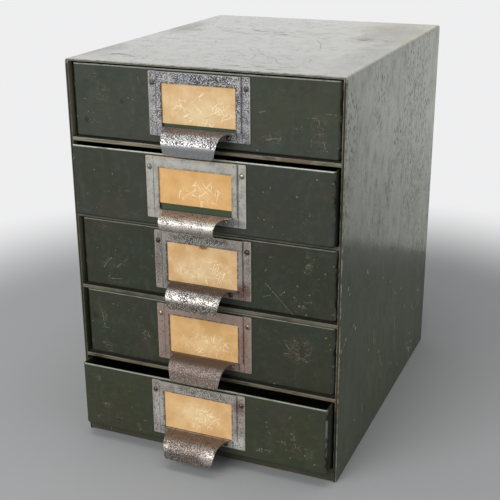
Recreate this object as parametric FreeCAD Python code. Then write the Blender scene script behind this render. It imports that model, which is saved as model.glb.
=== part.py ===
import FreeCAD, Part
import math
import os

# A bench-top cabinet: five folded sheet-steel drawers in a folded steel casing.
# Lengths are millimetres. X runs left to right seen from the front, Y runs from the front
# to the back, Z is up, and the origin is the middle of the casing's footprint on the bench.

# Drawer bodies
drawer_count = 5
drawer_width = 268.8
drawer_height = 70.8
drawer_length = 347.0
drawer_sheet = 1.0
drawer_corner_radius = 3.5
drawer_bottom_bend = 2.0
drawer_bottom_flange = 10.0
drawer_hem_height = 8.0
drawer_hem_bend_radius = 0.9
drawer_back_drop = 8.5
drawer_back_flange = 12.0
drawer_travel = 290.0
drawer_standing_out = [0.0, 11.0, 0.0, 0.0, 17.5]

# Small ears on the drawer sides that stop the drawer behind the front edge above it
stop_ear_height = 2.8
stop_ear_length = 14.0
stop_clearance = 0.3

# Room round a drawer
running_gap = 0.3
gap_over_drawer = 2.0
gap_beside_drawer = 2.2
gap_behind_drawer = 0.5
front_recess = 3.5

# Casing
casing_sheet = 1.0
casing_edge_radius = 2.5
side_hem_thickness = 3.4
side_hem_return = 14.0
top_hem_thickness = 2.2
top_hem_return = 12.0
hem_outer_bend_radius = 0.9
hem_inner_bend_radius = 0.6
hem_seam_width = 0.5
hem_seam_depth = 0.6
side_hem_seam_inset = 1.5
top_hem_seam_inset = 0.95
back_flange = 10.0
bottom_flange = 10.0

# Shelves, and the base shelf under the lowest drawer
base_height = 15.0
base_rail_lift = 0.5
rail_height = 4.2
rail_thickness = 2.0
rail_edge_radius = 0.9
shelf_sheet = 1.0
guide_height = 12.0
guide_tail = 8.0
shelf_rear_flange = 8.0
fit_gap = 0.5

# Card holder with a pull, pressed from one sheet
pull_sheet = 1.0
pull_width = 102.0
pull_lift = 8.0
pull_drop = 2.3
pull_shift = -1.5
pull_corner_radius = 1.2
flange_width = 8.3
bezel_side = 5.4
bezel_top = 10.3
bezel_raise = 1.4
bezel_bend_radius = 0.9
window_slit = 0.5
slit_overrun = 3.6
band_height = 9.2

# Tongue of the pull, folded out of the window. One entry for each drawer, from the top:
# tilt of the flat part above level, its length, the radius of the curl and the angle
# that the curl ends at below level.
tongue_tilt = [0.0, 0.0, 8.0, 6.0, 0.0]
tongue_flat = [11.0, 14.0, 10.5, 10.5, 11.5]
tongue_curl_radius = [12.4, 7.4, 13.0, 12.0, 13.0]
tongue_end_angle = [93.0, 160.0, 88.0, 80.0, 84.0]
tongue_length = 38.5
tongue_root_bend = 1.8
tongue_neck_half_width = 31.8
tongue_neck_depth = 7.5
tongue_neck_bow = 0.3
tongue_front_half_width = 29.0
tongue_front_depth = 22.0
tongue_tip_half_width = 25.2
tongue_curl_height = 18.4
tongue_tip_corner = 4.0

# Cards
card_thickness = 0.5
card_tuck = 4.0
card_side_gap = 0.6
card_behind_bezel = 0.1
card_rise = [3.3, 6.5, 0.3, 0.3, 0.3]

# Rivets
rivet_shank_radius = 1.2
rivet_head_radius = 2.4
rivet_head_height = 1.1
rivet_tail_radius = 2.0
rivet_tail_height = 0.6
rivet_side_offset = 47.2
rivet_side_drop = 10.7
rivet_band_offset = 29.5
rivet_band_lift = 3.7

# Derived sizes
bay_height = running_gap + drawer_height + gap_over_drawer
shelf_pitch = bay_height + rail_height
top_hem_underside = base_height + drawer_count * bay_height + (drawer_count - 1) * rail_height
casing_height = top_hem_underside + top_hem_thickness
casing_width = drawer_width + 2 * (gap_beside_drawer + side_hem_thickness)
casing_depth = front_recess + drawer_length + gap_behind_drawer + shelf_sheet + casing_sheet
half_width = casing_width / 2
inner_half_width = half_width - casing_sheet
opening_half_width = half_width - side_hem_thickness
front_y = -casing_depth / 2
back_y = casing_depth / 2
back_inner_y = back_y - casing_sheet
drawer_half_width = drawer_width / 2
drawer_inner_half_width = drawer_half_width - drawer_sheet


def vec(x, y, z):
    return FreeCAD.Vector(x, y, z)


def box(x0, x1, y0, y1, z0, z1):
    """A box between two corners."""
    return Part.makeBox(x1 - x0, y1 - y0, z1 - z0, vec(x0, y0, z0))


def both_sides(solid):
    """The solid and its mirror image across the YZ plane."""
    return [solid, solid.mirror(vec(0, 0, 0), vec(1, 0, 0))]


def joined(pieces):
    """One solid from pieces that overlap or share faces."""
    return pieces[0].multiFuse(pieces[1:]).removeSplitter()


def cylinder_y(x, z, radius, y0, y1):
    """A cylinder along Y."""
    return Part.makeCylinder(radius, y1 - y0, vec(x, y0, z), vec(0, 1, 0))


def rounded(solid, radius, wanted):
    """Round the edges that the test picks out."""
    edges = [edge for edge in solid.Edges if wanted(edge)]
    return solid.makeFillet(radius, edges)


def runs_along(edge, axis):
    """True for a straight edge along the axis, 0 for X, 1 for Y and 2 for Z."""
    if len(edge.Vertexes) != 2:
        return False
    step = edge.Vertexes[1].Point - edge.Vertexes[0].Point
    if abs(step.Length - edge.Length) > 1e-6:
        return False
    return abs(abs(step[axis]) - step.Length) < 1e-6


def shelf_top(index):
    """Height of the shelf that carries the drawer of this index, 0 for the top one."""
    return base_height + (drawer_count - 1 - index) * shelf_pitch


# Casing

def at_front(edge):
    """True for an edge of the casing's front, apart from the sheet's ends on the bench."""
    return edge.BoundBox.YMax < front_y + 1e-6 and edge.BoundBox.ZMax > casing_sheet


def at_outline(edge):
    """True for an edge of the casing's outer outline."""
    bounds = edge.BoundBox
    return max(-bounds.XMin, bounds.XMax) > half_width - 1e-6 or bounds.ZMax > casing_height - 1e-6


def at_opening(edge):
    """True for an edge of the opening for the drawers."""
    middle = edge.CenterOfMass
    return abs(middle.x) < opening_half_width + 1e-6 and middle.z < top_hem_underside + 1e-6


def hem_seams():
    """Grooves in the front of the hems, where the folded sheet meets its return."""
    end_y = front_y + hem_seam_depth
    side_x = half_width - side_hem_seam_inset
    top_z = casing_height - top_hem_seam_inset
    side = box(side_x - hem_seam_width, side_x, front_y - 1, end_y, -1, top_z)
    top = box(-side_x, side_x, front_y - 1, end_y, top_z - hem_seam_width, top_z)
    return both_sides(side) + [top]


def casing_wrap():
    """Top and both sides, folded from one sheet, with hems round the front opening."""
    outer = box(-half_width, half_width, front_y, back_y, 0, casing_height)
    outer = rounded(outer, casing_edge_radius, lambda e: runs_along(e, 1) and e.CenterOfMass.z > 1)
    inner = box(-inner_half_width, inner_half_width, front_y - 1, back_y + 1,
                -1, casing_height - casing_sheet)
    inner = rounded(inner, casing_edge_radius - casing_sheet,
                    lambda e: runs_along(e, 1) and e.CenterOfMass.z > 1)
    sheet = outer.cut(inner)

    hem = box(opening_half_width, half_width - casing_sheet / 2, front_y, front_y + side_hem_return,
              0, top_hem_underside + casing_sheet / 2)
    slot = box(opening_half_width + casing_sheet, inner_half_width, front_y + casing_sheet,
               front_y + side_hem_return + 1, -1, top_hem_underside)
    side_hems = both_sides(hem.cut(slot))
    top_hem = box(-opening_half_width - casing_sheet, opening_half_width + casing_sheet, front_y,
                  front_y + top_hem_return, top_hem_underside, casing_height - casing_sheet / 2)
    wrap = joined([sheet, top_hem] + side_hems)

    wrap = rounded(wrap, hem_inner_bend_radius, lambda e: at_front(e) and at_opening(e))
    wrap = rounded(wrap, hem_outer_bend_radius, lambda e: at_front(e) and at_outline(e))
    for seam in hem_seams():
        wrap = wrap.cut(seam)
    return wrap


def back_panel():
    """Back sheet with flanges that turn forward inside the casing."""
    low = casing_sheet
    high = casing_height - casing_sheet
    flange_y = back_inner_y - back_flange
    corner = casing_edge_radius
    plate = box(-inner_half_width, inner_half_width, back_inner_y, back_y, low, high)
    plate = rounded(plate, corner, lambda e: runs_along(e, 1) and e.CenterOfMass.z > high - 1)
    sides = both_sides(box(inner_half_width - casing_sheet, inner_half_width, flange_y, back_inner_y,
                           low, high - corner))
    top = box(corner - inner_half_width, inner_half_width - corner, flange_y, back_inner_y,
              high - casing_sheet, high)
    return joined([plate, top] + sides)


def bottom_panel():
    """Closing sheet that the cabinet stands on, with flanges welded to the sides."""
    start_y = front_y + side_hem_return + fit_gap
    plate = box(-inner_half_width, inner_half_width, start_y, back_y, 0, casing_sheet)
    flanges = both_sides(box(inner_half_width - casing_sheet, inner_half_width, start_y,
                             back_inner_y - back_flange - fit_gap, 0, bottom_flange))
    return joined([plate] + flanges)


def shelf(top, rail, tail):
    """Shelf sheet with a front rail, folded side guides and a rear flange.

    The guides are inverted channels: the inner leg guides the drawer, and the outer leg
    lies against the casing's side, from above the shelf down past it by the tail.
    """
    under = top - shelf_sheet
    guide_y = front_y + side_hem_return + fit_gap
    guide_end = back_inner_y - back_flange - fit_gap
    edge = opening_half_width
    plate = box(-edge, edge, front_y, back_inner_y, under, top)
    front_rail = box(-edge, edge, front_y, front_y + rail_thickness, top - rail, top)
    rear = box(-edge, edge, back_inner_y - shelf_sheet, back_inner_y, top - shelf_rear_flange, top)
    inner_leg = box(edge, edge + shelf_sheet, guide_y, guide_end, under, top + guide_height)
    bridge = box(edge, inner_half_width, guide_y, guide_end,
                 top + guide_height - shelf_sheet, top + guide_height)
    outer_leg = box(inner_half_width - shelf_sheet, inner_half_width, guide_y, guide_end,
                    top - tail, top + guide_height)
    guides = both_sides(inner_leg) + both_sides(bridge) + both_sides(outer_leg)
    solid = joined([plate, front_rail, rear] + guides)
    return rounded(solid, rail_edge_radius,
                   lambda e: runs_along(e, 0) and e.BoundBox.YMax < front_y + 1e-6)


# Drawers. Each is drawn with its front face at Y 0 and its underside at Z 0.

def tray_block(inset, height, low, bend, length):
    """A block with the drawer's plan, drawn in from its outside by the inset."""
    half = drawer_half_width - inset
    solid = box(-half, half, inset, length, low, height)
    radius = drawer_corner_radius - inset
    solid = rounded(solid, radius, lambda e: runs_along(e, 2) and e.CenterOfMass.y < length / 2)

    def bottom_edge(edge):
        return edge.BoundBox.ZMax < low + 1e-6 and edge.BoundBox.YMin < length - 1e-6

    return rounded(solid, bend, bottom_edge)


def drawer_shell(stop_depth):
    """Front and sides from one strip, with a hem round the top and a flange underneath."""
    outer = tray_block(0, drawer_height, 0, drawer_bottom_bend, drawer_length)
    past_end = drawer_length + 1
    inner = tray_block(drawer_sheet, drawer_height + 1, drawer_sheet,
                       drawer_bottom_bend - drawer_sheet, past_end)
    window_half = drawer_half_width - drawer_bottom_flange
    window = box(-window_half, window_half, drawer_bottom_flange, past_end, -1, drawer_sheet + 1)
    shell = outer.cut(inner).cut(window)

    hem_low = drawer_height - drawer_hem_height
    hem_outer = drawer_sheet / 2
    hem_ring = box(hem_outer - drawer_half_width, drawer_half_width - hem_outer, hem_outer,
                   drawer_length, hem_low, drawer_height)
    hem_ring = rounded(hem_ring, drawer_corner_radius - hem_outer,
                       lambda e: runs_along(e, 2) and e.CenterOfMass.y < drawer_length / 2)
    hem_half = drawer_half_width - 2 * drawer_sheet
    hem_room = box(-hem_half, hem_half, 2 * drawer_sheet, past_end, hem_low - 1, drawer_height + 1)
    hem_room = rounded(hem_room, drawer_corner_radius - 2 * drawer_sheet,
                       lambda e: runs_along(e, 2) and e.CenterOfMass.y < drawer_length / 2)
    shell = joined([shell, hem_ring.cut(hem_room)])

    def rim(edge):
        return edge.BoundBox.ZMin > drawer_height - 1e-6 and edge.BoundBox.YMin < drawer_length - 1e-6

    shell = rounded(shell, drawer_hem_bend_radius, rim)

    ear_y = drawer_travel - front_recess + stop_depth + stop_clearance
    ear = box(hem_half, drawer_half_width, ear_y, ear_y + stop_ear_length,
              drawer_height - 1, drawer_height + stop_ear_height)
    shell = joined([shell] + both_sides(ear))
    for x, z in rivet_places():
        shell = shell.cut(cylinder_y(x, z, rivet_shank_radius, -1, drawer_sheet + 1))
    return shell


def drawer_bottom():
    """Bottom plate that lies on the shell's flange."""
    inset = drawer_bottom_bend
    half = drawer_half_width - inset
    plate = box(-half, half, inset, drawer_length, drawer_sheet, 2 * drawer_sheet)
    return rounded(plate, drawer_corner_radius - drawer_sheet,
                   lambda e: runs_along(e, 2) and e.CenterOfMass.y < drawer_length / 2)


def drawer_back():
    """Back plate with flanges inside the drawer's sides, standing on the bottom plate."""
    low = 2 * drawer_sheet
    high = drawer_height - drawer_back_drop
    half = drawer_inner_half_width
    plate = box(-half, half, drawer_length - drawer_sheet, drawer_length, low, high)
    flanges = both_sides(box(half - drawer_sheet, half, drawer_length - drawer_back_flange,
                             drawer_length, low, high))
    return joined([plate] + flanges)


# Card holder with its pull

window_half_width = pull_width / 2 - flange_width - bezel_side
bezel_half_width = window_half_width + bezel_side
pull_top = drawer_height - pull_drop
band_top = pull_lift + band_height
window_low = band_top + window_slit
window_high = pull_top - bezel_top


def rivet_places():
    """Places of the four rivets on the drawer front."""
    side_z = pull_top - rivet_side_drop
    band_z = pull_lift + rivet_band_lift
    places = []
    for sign in (-1, 1):
        places.append((pull_shift + sign * rivet_side_offset, side_z))
        places.append((pull_shift + sign * rivet_band_offset, band_z))
    return places


class BentStrip:
    """Side view of a bent strip, drawn leg by leg along its middle line.

    Points are (forward, up) and angles are measured up from straight forward.
    """

    def __init__(self, forward, up, angle, thickness):
        self.point = (forward, up)
        self.angle = math.radians(angle)
        self.half = thickness / 2
        self.left = []
        self.right = []

    def offset(self, side, point, angle):
        forward = point[0] - side * self.half * math.sin(angle)
        up = point[1] + side * self.half * math.cos(angle)
        return vec(0, -forward, up)

    def straight(self, length):
        start = self.point
        end = (start[0] + length * math.cos(self.angle), start[1] + length * math.sin(self.angle))
        for side, edges in ((1, self.left), (-1, self.right)):
            first = self.offset(side, start, self.angle)
            last = self.offset(side, end, self.angle)
            edges.append(Part.LineSegment(first, last).toShape())
        self.point = end

    def curl_down(self, radius, turn):
        """Bend downwards by the turn in degrees."""
        start_angle = self.angle
        centre = (self.point[0] + radius * math.sin(start_angle),
                  self.point[1] - radius * math.cos(start_angle))

        def on_arc(share):
            angle = start_angle - math.radians(turn) * share
            point = (centre[0] - radius * math.sin(angle), centre[1] + radius * math.cos(angle))
            return point, angle

        for side, edges in ((1, self.left), (-1, self.right)):
            corners = [self.offset(side, *on_arc(share)) for share in (0, 0.5, 1)]
            edges.append(Part.Arc(*corners).toShape())
        self.point, self.angle = on_arc(1)

    def face(self):
        start = Part.LineSegment(self.right[0].Vertexes[0].Point,
                                 self.left[0].Vertexes[0].Point).toShape()
        end = Part.LineSegment(self.left[-1].Vertexes[-1].Point,
                               self.right[-1].Vertexes[-1].Point).toShape()
        edges = Part.__sortEdges__([start, end] + self.left + self.right)
        return Part.Face(Part.Wire(edges))


def tongue_cutter(points, direction):
    """A prism that trims one side of the tongue, through everything in one direction."""
    wire = Part.makePolygon([point - direction for point in points + points[:1]])
    return Part.Face(wire).extrude(direction * 2)


def tongue(index):
    """Finger pull: the window's blank, folded forward and curled down."""
    tilt = tongue_tilt[index]
    strip = BentStrip(pull_sheet / 2, band_top - tongue_root_bend - pull_sheet, 90, pull_sheet)
    strip.straight(pull_sheet / 2)
    strip.curl_down(tongue_root_bend, 90 - tilt)
    strip.straight(tongue_flat[index])
    curl = tongue_curl_radius[index]
    room = tongue_length - tongue_flat[index]
    turn = min(tongue_end_angle[index] + tilt, math.degrees(room / curl))
    strip.curl_down(curl, turn)
    rest = room - curl * math.radians(turn)
    if rest > 0.01:
        strip.straight(rest)
    tip_forward, tip_up = strip.point
    solid = strip.face()
    solid.translate(vec(-window_half_width, 0, 0))
    solid = solid.extrude(vec(2 * window_half_width, 0, 0))

    wide = window_half_width + 1
    reach = tongue_length
    root = pull_sheet + tongue_root_bend
    neck = tongue_neck_half_width
    front = tongue_front_half_width
    plan_taper = (neck - front) / (tongue_front_depth - tongue_neck_depth)
    front_taper = (front - tongue_tip_half_width) / tongue_curl_height
    curl_top = band_top - tongue_root_bend
    plan = [vec(wide, -root, 0), vec(window_half_width, -root, 0),
            vec(neck + tongue_neck_bow * (window_half_width - neck), -(root + tongue_neck_depth) / 2, 0),
            vec(neck, -tongue_neck_depth, 0),
            vec(front - plan_taper * (reach - tongue_front_depth), -reach, 0), vec(wide, -reach, 0)]
    side = [vec(wide, 0, curl_top), vec(front, 0, curl_top),
            vec(front - front_taper * (curl_top + reach), 0, -reach), vec(wide, 0, -reach)]
    in_front = box(-wide, wide, -reach, -tongue_neck_depth, -reach, curl_top)
    plan_cut = tongue_cutter(plan, vec(0, 0, reach))
    side_cut = tongue_cutter(side, vec(0, reach, 0)).common(in_front)
    for cutter in both_sides(plan_cut) + both_sides(side_cut):
        solid = solid.cut(cutter)
    solid = solid.Solids[0]

    def tip_corner(edge):
        middle = edge.CenterOfMass
        at_side = abs(middle.x) > tongue_tip_half_width / 2
        at_tip = math.hypot(middle.y + tip_forward, middle.z - tip_up) < pull_sheet / 4
        return at_side and at_tip and edge.Length < 2 * pull_sheet

    return rounded(solid, tongue_tip_corner, tip_corner)


def label_pull(index):
    """Card holder and pull: flat flanges and lower band, a raised bezel and the tongue."""
    sheet_front = -pull_sheet
    raised_back = -bezel_raise
    raised_front = raised_back - pull_sheet
    half = pull_width / 2
    inside = bezel_half_width - pull_sheet
    flanges = both_sides(box(bezel_half_width - pull_sheet, half, sheet_front, 0, pull_lift, pull_top))
    flanges = [rounded(flange, pull_corner_radius,
                       lambda e: runs_along(e, 1) and abs(e.CenterOfMass.x) > half - 0.01)
               for flange in flanges]
    band = box(-bezel_half_width, bezel_half_width, sheet_front, 0, pull_lift, band_top)
    band_root = box(-window_half_width, window_half_width, sheet_front - 1, 1,
                    band_top - tongue_root_bend - pull_sheet / 2, band_top)
    steps = both_sides(box(inside, bezel_half_width, raised_front, 0, window_low, pull_top))
    bezel = box(-bezel_half_width, bezel_half_width, raised_front, raised_back, window_low, pull_top)
    bezel = joined([bezel] + steps)
    bezel = rounded(bezel, bezel_bend_radius,
                    lambda e: runs_along(e, 2) and abs(e.CenterOfMass.x) > bezel_half_width - 1e-6
                    and e.CenterOfMass.y < raised_front + 1e-6)
    window = box(-window_half_width, window_half_width, raised_front - 1, 0, window_low - 1, window_high)
    solid = joined(flanges + [band.cut(band_root), bezel.cut(window), tongue(index)])
    slit = box(window_half_width, window_half_width + slit_overrun, raised_front - 1, 1,
               band_top, window_low)
    for cut in both_sides(slit):
        solid = solid.cut(cut)
    solid.translate(vec(pull_shift, 0, 0))
    for x, z in rivet_places():
        solid = solid.cut(cylinder_y(x, z, rivet_shank_radius, raised_front, 1))
    return solid


def label_card(index):
    """Card in the holder, resting on or above the lower band."""
    half = bezel_half_width - pull_sheet - card_side_gap
    back = card_behind_bezel + card_thickness - bezel_raise
    low = band_top + card_rise[index]
    height = window_high - band_top + card_tuck
    card = box(-half, half, back - card_thickness, back, low, low + height)
    card.translate(vec(pull_shift, 0, 0))
    return card


def pull_rivets():
    """Four rivets, each with a round head outside and a flat tail inside."""
    rivets = []
    for x, z in rivet_places():
        shank = cylinder_y(x, z, rivet_shank_radius, -pull_sheet, drawer_sheet)
        tail = cylinder_y(x, z, rivet_tail_radius, drawer_sheet, drawer_sheet + rivet_tail_height)
        dome = (rivet_head_radius ** 2 + rivet_head_height ** 2) / (2 * rivet_head_height)
        ball = Part.makeSphere(dome, vec(x, -pull_sheet - rivet_head_height + dome, z))
        head = ball.common(cylinder_y(x, z, rivet_head_radius + 1, -pull_sheet - 2 * dome, -pull_sheet))
        rivets.append(joined([shank, tail, head]))
    return Part.makeCompound(rivets)


def export(shape, name):
    shape.exportStep("parts/" + name + ".step")


def export_casing():
    export(casing_wrap(), "casing_wrap")
    export(back_panel(), "back_panel")
    export(bottom_panel(), "bottom_panel")
    base_tail = base_height - bottom_flange - fit_gap
    export(shelf(base_height, base_height - base_rail_lift, base_tail), "base_shelf")
    for index in range(drawer_count - 1):
        export(shelf(shelf_top(index), rail_height, guide_tail), "shelf_" + str(index + 1))


def export_drawers():
    for index in range(drawer_count):
        stop_depth = top_hem_return if index == 0 else rail_thickness
        place = vec(0, front_y + front_recess - drawer_standing_out[index],
                    shelf_top(index) + running_gap)
        pieces = {
            "shell": drawer_shell(stop_depth),
            "bottom": drawer_bottom(),
            "back": drawer_back(),
            "pull": label_pull(index),
            "card": label_card(index),
            "rivets": pull_rivets(),
        }
        for piece, shape in pieces.items():
            shape.translate(place)
            export(shape, "drawer_" + str(index + 1) + "_" + piece)


os.makedirs("parts", exist_ok=True)
export_casing()
export_drawers()
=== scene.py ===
import math

import bpy
from mathutils import Matrix, Vector


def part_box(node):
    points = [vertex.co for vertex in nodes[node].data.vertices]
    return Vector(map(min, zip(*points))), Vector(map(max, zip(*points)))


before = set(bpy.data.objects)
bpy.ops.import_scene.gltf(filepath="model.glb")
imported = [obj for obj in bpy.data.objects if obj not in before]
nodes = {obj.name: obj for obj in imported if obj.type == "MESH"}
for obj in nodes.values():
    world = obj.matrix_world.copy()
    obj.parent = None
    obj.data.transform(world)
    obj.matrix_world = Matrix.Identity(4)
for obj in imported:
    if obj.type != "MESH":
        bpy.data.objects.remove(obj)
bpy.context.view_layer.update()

MM = 1000  # the finishes are measured in millimetres
FRONT = Vector((1, 0, 0)), Vector((0, 0, 1))  # the directions that lie in each face
FLANK = Vector((0, 1, 0)), Vector((0, 0, 1))
TOP = Vector((1, 0, 0)), Vector((0, 1, 0))
DRAWERS = (1, 2, 3, 4, 5)  # from the top down

casing_low, casing_high = (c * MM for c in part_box("casing_wrap"))
MOUTH, SIDE, HEAD = casing_low.y, casing_high.x, casing_high.z  # its front edge, side and top
EARS = 2.8  # how far the stop ears stand up from a drawer's rim
WINDOW, BEZEL, PLATE = 37.5, 42.9, 51.0  # half widths of a card holder's parts
WINDOW_TOP, PLATE_TOP = 58.2, 68.5  # and how high they reach above the drawer's foot


def shade(code):
    """A colour as the shaders take it, from the hex code that it shows on a screen."""
    parts = [int(code[i : i + 2], 16) / 255 for i in (1, 3, 5)]
    return (*(p / 12.92 if p <= 0.04045 else ((p + 0.055) / 1.055) ** 2.4 for p in parts), 1.0)


# The shader bench


class Wire:
    """One output in a finish's shader. Arithmetic on it adds the nodes that work it out."""

    def __init__(self, finish, socket):
        self.finish, self.socket = finish, socket

    def __add__(self, other):
        return self.finish.maths("ADD", self, other)

    def __sub__(self, other):
        return self.finish.maths("SUBTRACT", self, other)

    def __rsub__(self, other):
        return self.finish.maths("SUBTRACT", other, self)

    def __mul__(self, other):
        return self.finish.maths("MULTIPLY", self, other)

    def __abs__(self):
        return self.finish.maths("ABSOLUTE", self)

    __radd__, __rmul__ = __add__, __mul__

    def least(self, other):
        return self.finish.maths("MINIMUM", self, other)

    def most(self, other):
        return self.finish.maths("MAXIMUM", self, other)

    def fade(self, none, full):
        """0 at none, 1 at full, smooth between. none may be the larger."""
        return self.finish.node(
            "MapRange",
            {"interpolation_type": "SMOOTHSTEP"},
            {"Value": self, "From Min": none, "From Max": full},
        )

    def parts(self):
        """The three numbers of a vector."""
        split = self.finish.node("SeparateXYZ", {}, {0: self})
        return [Wire(self.finish, socket) for socket in split.socket.node.outputs]


class Finish:
    """A finish, laid on in layers from the ground coat up."""

    def __init__(self, name, colour, rough, coat=0.0, metal=0.0, origin=(0, 0, 0), **fixed):
        self.material = bpy.data.materials.new(name)
        self.material.use_nodes = True
        self.tree = self.material.node_tree
        self.shader = self.tree.nodes["Principled BSDF"]
        for socket, value in fixed.items():
            self.shader.inputs[socket.replace("_", " ")].default_value = value
        self.colour, self.rough, self.coat, self.metal = colour, rough, coat, metal
        self.height = 0.0
        metres = self.node("TexCoord", output="Object")
        corner = tuple(-MM * c for c in origin)
        self.place = self.vector("MULTIPLY_ADD", metres, (MM, MM, MM), corner)
        self.x, self.y, self.z = self.place.parts()
        self.facing = self.node("NewGeometry", output="Normal").parts()

    def feed(self, socket, value):
        if isinstance(value, Wire):
            self.tree.links.new(value.socket, socket)
        else:
            socket.default_value = value

    def node(self, kind, settings={}, sockets={}, output=0):
        """Any other node: its type, its settings, and the values or wires of its sockets."""
        made = self.tree.nodes.new("ShaderNode" + kind)
        for setting, value in settings.items():
            setattr(made, setting, value)
        for socket, value in sockets.items():
            self.feed(made.inputs[socket], value)
        return Wire(self, made.outputs[output])

    def maths(self, operation, *values):
        return self.node("Math", {"operation": operation}, dict(enumerate(values)))

    def vector(self, operation, *values, output=0):
        return self.node("VectorMath", {"operation": operation}, dict(enumerate(values)), output)

    def tint(self, mask, below, above):
        return self.node("Mix", {"data_type": "RGBA"}, {0: mask, 6: below, 7: above}, output=2)

    def between(self, mask, below, above):
        return self.node("Mix", {"data_type": "FLOAT"}, {0: mask, 2: below, 3: above})

    # where things are

    def noise(self, size, stretch=(1, 1, 1), *, detail, rough=0.5, seed):
        """Clouds from 0 to 1 with lumps of about that size."""
        where = self.vector(
            "MULTIPLY_ADD",
            self.place,
            tuple(1 / (size * s) for s in stretch),
            (17.3 * seed, 9.1 * seed, 5.7 * seed),
        )
        return self.node(
            "TexNoise", {}, {"Vector": where, "Scale": 1.0, "Detail": detail, "Roughness": rough}
        )

    def shaken(self, size, reach, seed):
        """The place, pushed about by up to reach, so that edges are ragged."""
        where = self.vector("MULTIPLY_ADD", self.place, (1 / size,) * 3, (3.3 + seed, 8.9, 1.7))
        push = self.node("TexNoise", {}, {"Vector": where, "Scale": 1.0, "Detail": 2.0}, "Color")
        moved = self.vector("MULTIPLY_ADD", push, (2 * reach,) * 3, (-reach,) * 3)
        return self.vector("ADD", self.place, moved)

    def dots(self, spacing, radius, seed, place=None):
        """Spots of up to that radius, scattered."""
        offset = (4.1 * seed, 2.3 * seed, 7.7 * seed)
        where = self.vector("MULTIPLY_ADD", place or self.place, (1 / spacing,) * 3, offset)
        reach = self.node("TexVoronoi", {}, {"Vector": where, "Scale": 1.0}, "Distance")
        return (reach * spacing).fade(radius, radius * 0.6)

    def measured(self, place, direction):
        """How far a place is along a direction."""
        return self.vector("DOT_PRODUCT", place, tuple(direction), output=1)

    def scores(self, reach, width, spacing, turn, seed, face, place):
        """Short straight scratches scattered over a face: reach is half their length."""
        lean = math.radians(turn)
        along = math.cos(lean) * face[0] + math.sin(lean) * face[1]
        across = math.cos(lean) * face[1] - math.sin(lean) * face[0]
        run = reach * spacing / width
        u = self.measured(place, along / run) + 3.7 * seed
        v = self.measured(place, across / spacing) + 5.3 * seed
        where = self.node("CombineXYZ", {}, {0: u, 1: v})
        cell = self.node(
            "TexVoronoi",
            {"voronoi_dimensions": "2D"},
            {"Vector": where, "Scale": 1.0},
            "Distance",
        )
        return cell.fade(width / spacing, 0.5 * width / spacing)

    def away(self, centre, size, place, face):
        """How far it is from a point on a face, in shares of the half width and half height."""
        flat = face[0] / size[0] + face[1] / size[1]
        offset = -(face[0] * (centre[0] / size[0]) + face[1] * (centre[1] / size[1]))
        scaled = self.vector("MULTIPLY_ADD", place or self.place, tuple(flat), tuple(offset))
        return self.vector("LENGTH", scaled, output=1)

    def patch(self, centre, size, place=None, soft=0.5, face=FRONT):
        """A round or long patch on a face; size is its half width and half height."""
        return self.away(centre, size, place, face).fade(1.0, 1.0 - soft)

    def nearest(self, spots, place, face=FRONT, tall=1.0):
        """How far it is to the nearest of some round spots, in shares of its radius."""
        near = None
        for x, up, radius in spots:
            reach = self.away((x, up), (radius, radius * tall), place, face)
            near = reach if near is None else near.least(reach)
        return near

    def stroke(self, start, end, width, place, face):
        """A scratch on a face, from one point to another."""
        start, run = Vector(start), Vector(end) - Vector(start)
        long = run.length
        run /= long
        along = self.measured(place, face[0] * run.x + face[1] * run.y)
        across = self.measured(place, face[1] * run.x - face[0] * run.y)
        off = abs(across - (run.x * start.y - run.y * start.x))
        past = abs(along - (run.dot(start) + long / 2))
        return off.fade(width, 0.35 * width) * past.fade(long / 2, long / 2 - 1.5)

    def strokes(self, lines, width, place, face=FRONT):
        """Scratches on a face, each given by both its ends."""
        return self.any_of([self.stroke(run[:2], run[2:], width, place, face) for run in lines])

    def any_of(self, masks):
        """The strongest of several masks."""
        found = masks[0]
        for mask in masks[1:]:
            found = found.most(mask)
        return found

    def bends(self):
        """Where the sheet is bent: its normal points along none of the axes."""
        x, y, z = (abs(n) for n in self.facing)
        return x.most(y).most(z).fade(0.999, 0.97)

    # the layers

    def lay(self, mask, colour=None, rough=None, coat=None, metal=None, height=None):
        """Lays a finish over the ones before it, where the mask is 1. The height is in mm."""
        if colour is not None:
            self.colour = self.tint(mask, self.colour, colour)
        if rough is not None:
            self.rough = self.between(mask, self.rough, rough)
        if coat is not None:
            self.coat = self.between(mask, self.coat, coat)
        if metal is not None:
            self.metal = self.between(mask, self.metal, metal)
        if height is not None:
            self.height = mask * height + self.height

    def done(self):
        """Wires the layers to the shader."""
        for socket, value in (
            ("Base Color", self.colour),
            ("Roughness", self.rough),
            ("Coat Weight", self.coat),
            ("Metallic", self.metal),
        ):
            self.feed(self.shader.inputs[socket], value)
        if isinstance(self.height, Wire):
            bump = self.node("Bump", {}, {"Height": self.height, "Distance": 1 / MM})
            self.feed(self.shader.inputs["Normal"], bump)
        return self.material


def coat(node, material):
    for slot in nodes[node].material_slots:
        slot.material = material


def drawer_foot(n):
    """The middle of the lower edge of a drawer's front, in metres."""
    low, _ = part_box(f"drawer_{n}_shell")
    return (0, low.y, low.z)


def holder_middle(n):
    """How far right of the drawer's middle the middle of its card holder is, in mm."""
    low, high = (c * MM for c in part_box(f"drawer_{n}_pull"))
    return (low.x + high.x) / 2


# Enamel

GREEN, OLIVE, GREY_GREEN = shade("#2B2F26"), shade("#2C2E1E"), shade("#30342C")
DUST_AND_SHEEN, DUST_YELLOW = shade("#7B7D72"), shade("#8A8468")
WORN, BARE, PALE = shade("#7C7A66"), shade("#9A988A"), shade("#AEB0A6")
RUST, BROWN, DARK = shade("#5E4434"), shade("#42362A"), shade("#12110D")


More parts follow.
